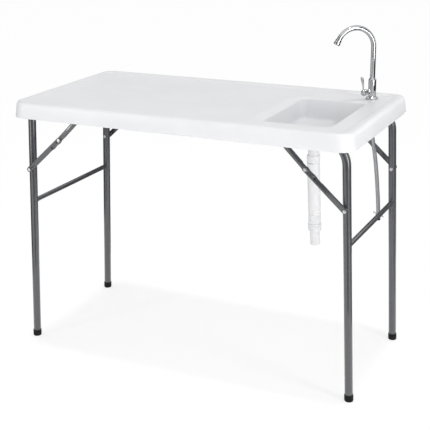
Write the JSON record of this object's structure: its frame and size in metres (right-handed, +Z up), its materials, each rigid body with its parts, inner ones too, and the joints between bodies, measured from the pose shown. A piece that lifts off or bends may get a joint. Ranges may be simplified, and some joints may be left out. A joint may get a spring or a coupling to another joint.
{
  "type": "fish cleaning table",
  "caption": "Portable fish cleaning table: moulded white top with sink, rimmed work area, gooseneck tap and drain, on two folding tube frames with hinged braces.",
  "frame": {"origin": "on the floor, under the middle of the top", "axes": "+X along the table towards the sink end, +Y from the front edge to the tap side, +Z up"},
  "size_m": [1.1598, 0.603, 1.072],
  "materials": {
    "moulding": "satin white moulding with a light grain",
    "frame_coat": "grey powder coat",
    "rubber": "black moulded rubber",
    "zinc": "zinc plated steel",
    "chrome": "polished chrome plate",
    "pipe": "white plastic pipe",
    "braid": "rubber hose under a steel wire braid"
  },
  "bodies": {
    "top": {"table_top": "moulding", "right_front_brace_bracket": "frame_coat", "right_front_pivot_bracket": "frame_coat", "right_front_pivot_pin": "zinc", "right_back_brace_bracket": "frame_coat", "right_back_pivot_bracket": "frame_coat", "right_back_pivot_pin": "zinc", "left_front_brace_bracket": "frame_coat", "left_front_pivot_bracket": "frame_coat", "left_front_pivot_pin": "zinc", "left_back_brace_bracket": "frame_coat", "left_back_pivot_bracket": "frame_coat", "left_back_pivot_pin": "zinc", "sink_strainer": "chrome", "strainer_screw": "chrome", "drain_gasket": "rubber", "drain_tailpiece": "pipe", "drain_nut": "pipe", "drain_hose": "pipe", "drain_cuff": "pipe", "drain_spigot": "pipe", "tap_flange": "chrome", "tap_body": "chrome", "valve_bonnet": "chrome", "shank_washer": "rubber", "shank_nut": "zinc", "hose_coupling_nut": "zinc", "supply_hose": "braid", "hose_wing_sleeve": "zinc", "hose_tip": "rubber"},
    "right_frame": {"right_crossbar": "frame_coat", "right_front_leg": "frame_coat", "right_front_foot_cap": "rubber", "right_front_leg_rivet": "zinc", "right_back_leg": "frame_coat", "right_back_foot_cap": "rubber", "right_back_leg_rivet": "zinc"},
    "left_frame": {"left_crossbar": "frame_coat", "left_front_leg": "frame_coat", "left_front_foot_cap": "rubber", "left_front_leg_rivet": "zinc", "left_back_leg": "frame_coat", "left_back_foot_cap": "rubber", "left_back_leg_rivet": "zinc"},
    "right_front_lower_brace": {"right_front_lower_link": "frame_coat", "right_front_knee_rivet": "zinc"},
    "right_front_upper_brace": {"right_front_upper_link": "frame_coat"},
    "right_back_lower_brace": {"right_back_lower_link": "frame_coat", "right_back_knee_rivet": "zinc"},
    "right_back_upper_brace": {"right_back_upper_link": "frame_coat"},
    "left_front_lower_brace": {"left_front_lower_link": "frame_coat", "left_front_knee_rivet": "zinc"},
    "left_front_upper_brace": {"left_front_upper_link": "frame_coat"},
    "left_back_lower_brace": {"left_back_lower_link": "frame_coat", "left_back_knee_rivet": "zinc"},
    "left_back_upper_brace": {"left_back_upper_link": "frame_coat"},
    "spout": {"tap_spout": "chrome", "tap_aerator": "chrome"},
    "lever": {"tap_lever": "chrome"}
  },
  "joints": [
    {"name": "right_leg_fold", "type": "hinge", "parent": "top", "child": "right_frame", "pos_m": [0.476, 0, 0.784], "axis": [0, 1, 0], "range_deg": [0, 92.32], "deforming": ["drain_hose", "supply_hose"]},
    {"name": "left_leg_fold", "type": "hinge", "parent": "top", "child": "left_frame", "pos_m": [-0.487, 0, 0.801], "axis": [0, -1, 0], "range_deg": [0, 92.32]},
    {"name": "right_front_lower_link_turn", "type": "hinge", "parent": "right_frame", "child": "right_front_lower_brace", "pos_m": [0.54143, -0.2536, 0.605], "axis": [0, 1, 0], "range_deg": [0, 29.03]},
    {"name": "right_front_upper_link_turn", "type": "hinge", "parent": "top", "child": "right_front_upper_brace", "pos_m": [0.333, -0.2511, 0.803], "axis": [0, 1, 0], "range_deg": [-31.01, 0]},
    {"name": "right_back_lower_link_turn", "type": "hinge", "parent": "right_frame", "child": "right_back_lower_brace", "pos_m": [0.54143, 0.2536, 0.605], "axis": [0, 1, 0], "range_deg": [0, 29.03]},
    {"name": "right_back_upper_link_turn", "type": "hinge", "parent": "top", "child": "right_back_upper_brace", "pos_m": [0.333, 0.2511, 0.803], "axis": [0, 1, 0], "range_deg": [-31.01, 0]},
    {"name": "left_front_lower_link_turn", "type": "hinge", "parent": "left_frame", "child": "left_front_lower_brace", "pos_m": [-0.54143, -0.2536, 0.605], "axis": [0, -1, 0], "range_deg": [0, 39]},
    {"name": "left_front_upper_link_turn", "type": "hinge", "parent": "top", "child": "left_front_upper_brace", "pos_m": [-0.333, -0.2511, 0.803], "axis": [0, -1, 0], "range_deg": [-31.33, 0]},
    {"name": "left_back_lower_link_turn", "type": "hinge", "parent": "left_frame", "child": "left_back_lower_brace", "pos_m": [-0.54143, 0.2536, 0.605], "axis": [0, -1, 0], "range_deg": [0, 39]},
    {"name": "left_back_upper_link_turn", "type": "hinge", "parent": "top", "child": "left_back_upper_brace", "pos_m": [-0.333, 0.2511, 0.803], "axis": [0, -1, 0], "range_deg": [-31.33, 0]},
    {"name": "spout_swivel", "type": "hinge", "parent": "top", "child": "spout", "pos_m": [0.47, 0.211, 0.9], "axis": [0, 0, 1], "range_deg": [-180, 180]},
    {"name": "lever_turn", "type": "hinge", "parent": "top", "child": "lever", "pos_m": [0.47, 0.211, 0.862], "axis": [-0.568, -0.8112, -0.1392], "range_deg": [0, 90]}
  ],
  "couplings": [
    {"joint": "right_front_lower_link_turn", "follows": "right_leg_fold", "ratio": 0.31125},
    {"joint": "right_front_upper_link_turn", "follows": "right_leg_fold", "ratio": -0.33264},
    {"joint": "right_back_lower_link_turn", "follows": "right_leg_fold", "ratio": 0.31125},
    {"joint": "right_back_upper_link_turn", "follows": "right_leg_fold", "ratio": -0.33264},
    {"joint": "left_front_lower_link_turn", "follows": "left_leg_fold", "ratio": 0.41919},
    {"joint": "left_front_upper_link_turn", "follows": "left_leg_fold", "ratio": -0.33616},
    {"joint": "left_back_lower_link_turn", "follows": "left_leg_fold", "ratio": 0.41919},
    {"joint": "left_back_upper_link_turn", "follows": "left_leg_fold", "ratio": -0.33616}
  ]
}
